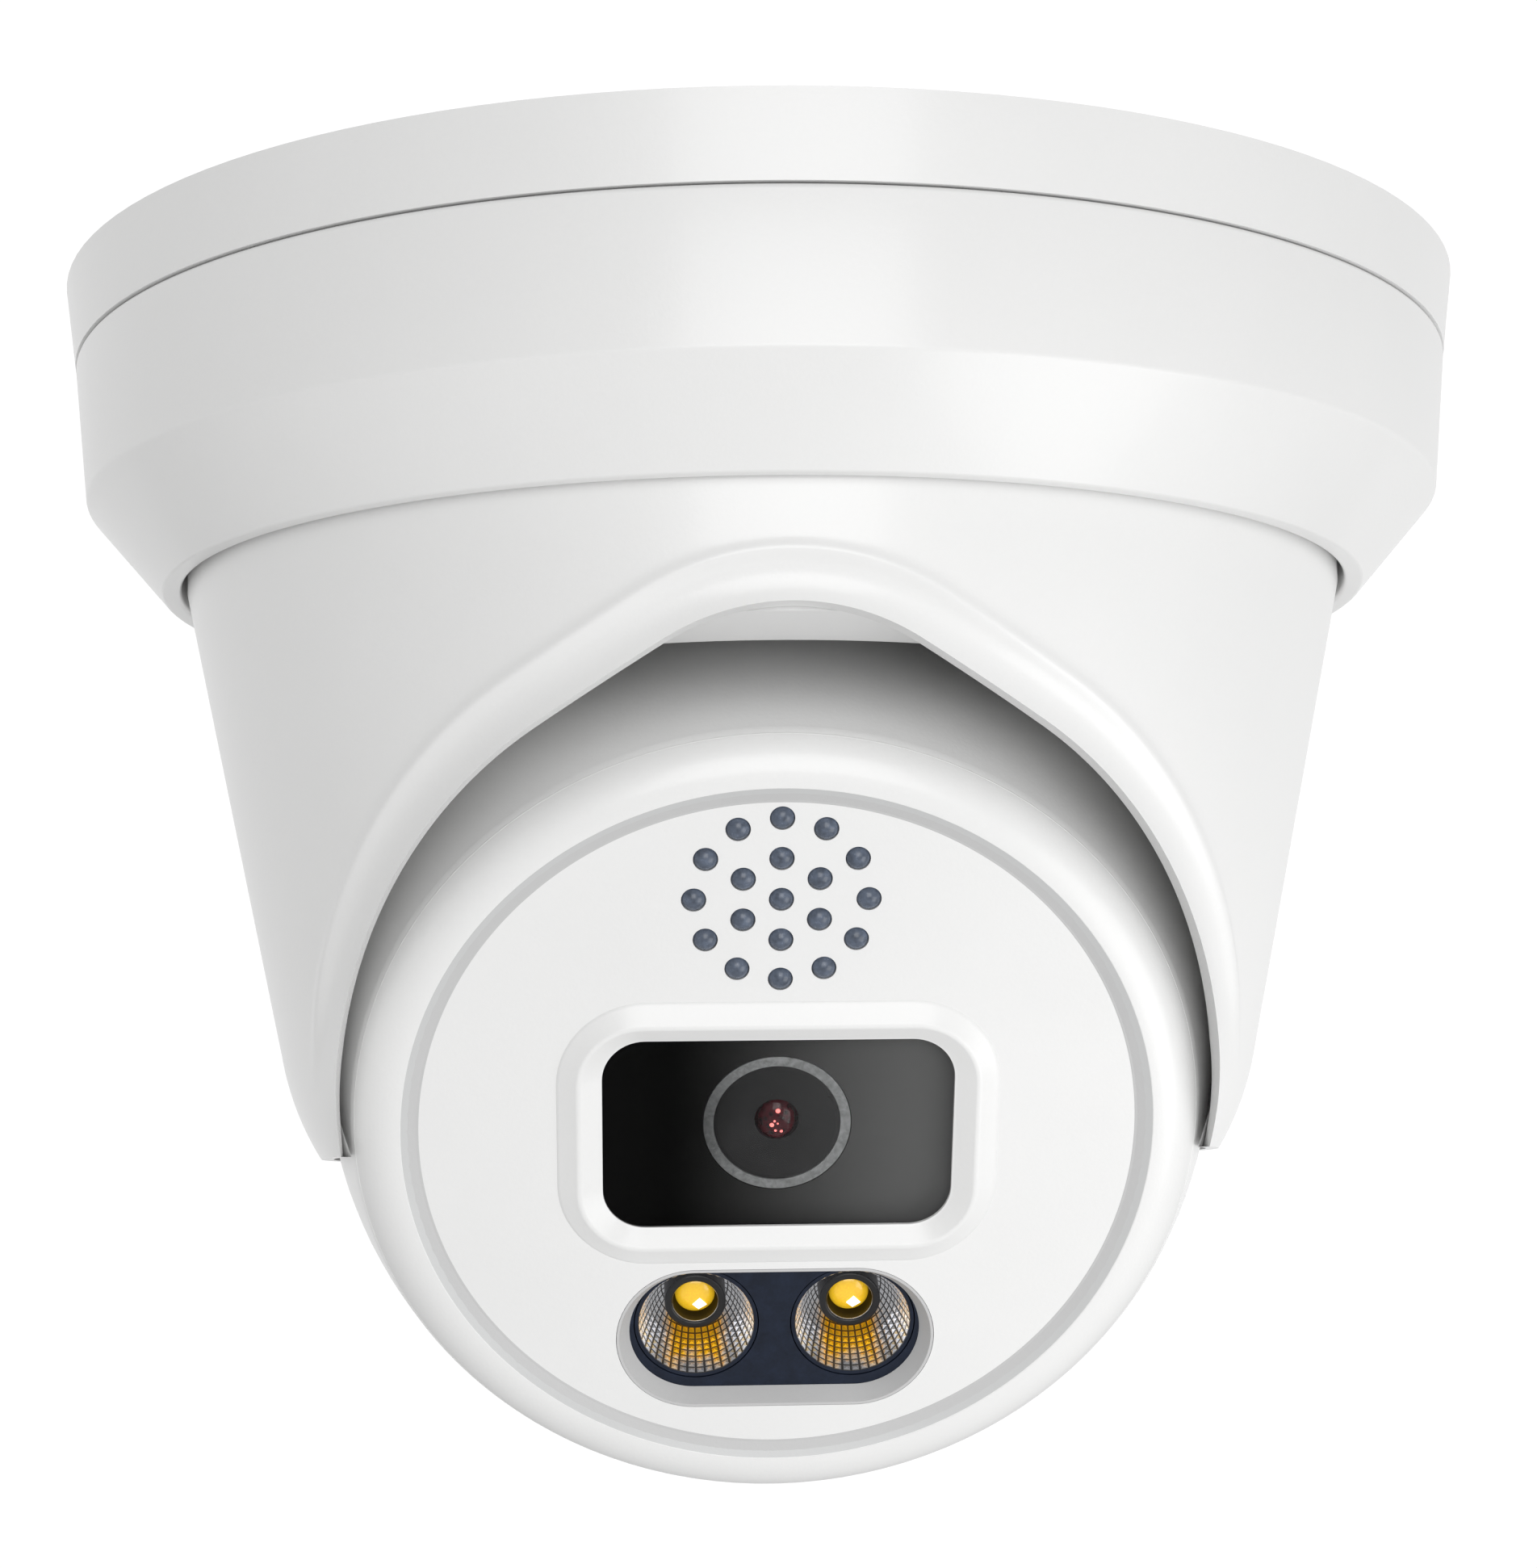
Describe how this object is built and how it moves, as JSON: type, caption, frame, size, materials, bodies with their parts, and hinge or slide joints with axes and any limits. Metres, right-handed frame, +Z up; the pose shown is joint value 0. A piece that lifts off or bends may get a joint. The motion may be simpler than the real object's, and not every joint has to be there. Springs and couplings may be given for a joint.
{
  "type": "dome camera",
  "caption": "Ceiling-mounted turret dome camera: a ball with lens window, speaker holes and twin lamps tilts in a panning arched shroud.",
  "frame": {"origin": "centre of the ceiling face of the mounting base", "axes": "+Z up into the ceiling, camera hangs towards -Z, lens looks towards -Y and down at rest, +X to the right as seen from in front"},
  "size_m": [0.1384, 0.1384, 0.1169],
  "materials": {
    "white_shell": "satin white powder coat",
    "white_plastic": "satin white moulding",
    "grey_trim": "satin grey",
    "dark_plastic": "matt navy black",
    "black_gloss": "gloss black mask",
    "smoked_glass": "smoked, polished",
    "lens_glass": "coated optical glass",
    "reflector": "faceted bright reflector",
    "led_yellow": "phosphor",
    "rubber": "matt",
    "nylon": "natural",
    "steel": "zinc plated",
    "bare_aluminium": "as cast",
    "board_green": "solder mask",
    "chip_black": "moulded",
    "mesh_dark": "fine dust mesh",
    "cable_black": "smooth jacket"
  },
  "bodies": {
    "base": {"mounting_base": "white_shell", "base_gasket": "rubber", "base_seal_ring": "rubber", "trim_ring": "white_plastic", "trim_lock_screw": "steel", "inlet_grommet": "rubber", "harness_socket": "dark_plastic", "pan_friction_washer": "nylon", "pan_retainer": "steel", "retainer_screws": "steel", "pan_slip_ring": "nylon"},
    "turret": {"turret_shroud": "white_shell", "ball_seat_ring": "white_plastic", "turret_carrier": "bare_aluminium", "carrier_screws": "steel", "tilt_pivot_screws": "steel", "tilt_friction_washers": "nylon"},
    "ball": {"ball_rear_shell": "white_shell", "roll_seal_ring": "rubber", "tilt_bushes": "nylon", "rear_cover": "white_shell", "rear_seal": "rubber", "rear_cover_screws": "steel", "rear_gland": "dark_plastic", "main_board": "board_green", "main_board_posts": "nylon", "main_board_screws": "steel", "main_board_chips": "chip_black", "harness_lead": "cable_black"},
    "reset": {"reset_button": "rubber"},
    "front": {"front_housing": "white_shell", "roll_circlip": "steel", "face_seal": "rubber", "face_plate": "white_plastic", "window_bezel": "white_plastic", "window_glass": "smoked_glass", "window_mask": "black_gloss", "lens_front_ring": "grey_trim", "lens_hood": "dark_plastic", "front_lens": "lens_glass", "lens_barrel": "bare_aluminium", "lens_elements": "lens_glass", "lens_holder": "dark_plastic", "ir_cut_filter": "lens_glass", "image_sensor": "chip_black", "sensor_board": "board_green", "sensor_board_posts": "nylon", "sensor_board_screws": "steel", "roll_lead": "cable_black", "light_bezel": "grey_trim", "light_housing": "dark_plastic", "light_cups": "reflector", "light_chips": "led_yellow", "light_board": "board_green", "light_heat_sink": "bare_aluminium", "speaker": "chip_black", "speaker_gasket": "rubber", "speaker_mesh": "mesh_dark"}
  },
  "joints": [
    {"name": "pan", "type": "hinge", "parent": "base", "child": "turret", "pos_m": [0, 0, 0], "axis": [0, 0, 1], "range_deg": [-177.5, 177.5]},
    {"name": "tilt", "type": "hinge", "parent": "turret", "child": "ball", "pos_m": [0, 0, -0.0735], "axis": [1, 0, 0], "range_deg": [-29.5, 45.5], "deforming": ["harness_lead"]},
    {"name": "roll", "type": "hinge", "parent": "ball", "child": "front", "pos_m": [0, 0, -0.0735], "axis": [0, -0.8704, -0.4924], "range_deg": [-177.5, 177.5]},
    {"name": "reset_press", "type": "slide", "parent": "ball", "child": "reset", "axis": [0, -0.8704, -0.4924], "range_m": [0, 0.0006], "stiffness_N_per_m": 800}
  ]
}
